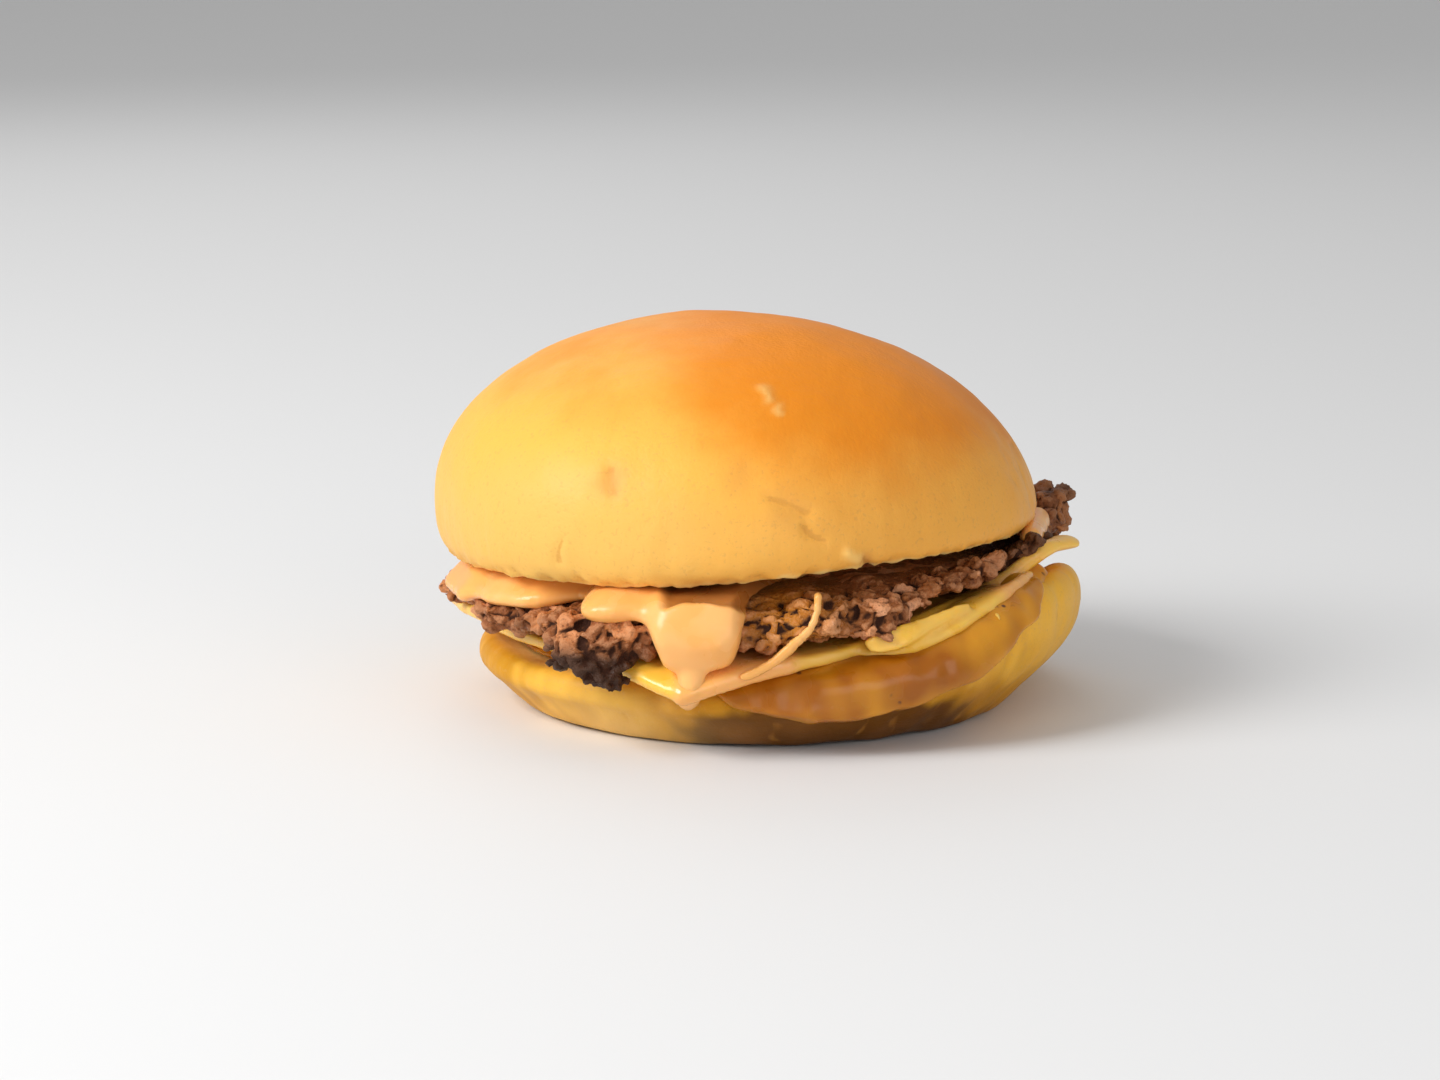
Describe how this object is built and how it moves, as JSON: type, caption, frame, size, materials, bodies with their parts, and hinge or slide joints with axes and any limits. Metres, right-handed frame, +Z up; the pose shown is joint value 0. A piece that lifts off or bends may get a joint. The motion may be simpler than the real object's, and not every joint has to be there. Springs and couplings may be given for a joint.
{
  "type": "cheeseburger",
  "caption": "Cheeseburger: soft domed bun, craggy smashed patty, melted square cheese slice with drooping corners, and peach and orange burger sauces dripping at the front",
  "frame": {"origin": "on the resting face, under the middle of the top bun", "axes": "+X right and +Y to the back as seen from the front, where the cheese corner droops; +Z up"},
  "size_m": [0.1135, 0.1147, 0.0664],
  "materials": {
    "bun_crumb": "soft pale golden bread side, a little wrinkled",
    "orange_sauce": "thin glossy orange sauce with small dark spice specks",
    "cheese_yellow": "soft melted processed cheese with a satin sheen",
    "meat_brown": "browned ground meat, craggy, with fatty glints",
    "peach_sauce": "thick glossy burger sauce",
    "bun_crust": "smooth baked crust with a thin glaze, deeper amber on top and yellow at the side"
  },
  "bodies": {
    "root": {"bun_bottom": "bun_crumb", "sauce_lower": "orange_sauce", "cheese": "cheese_yellow", "patty": "meat_brown", "sauce_upper": "peach_sauce", "bun_top": "bun_crust"}
  },
  "joints": []
}
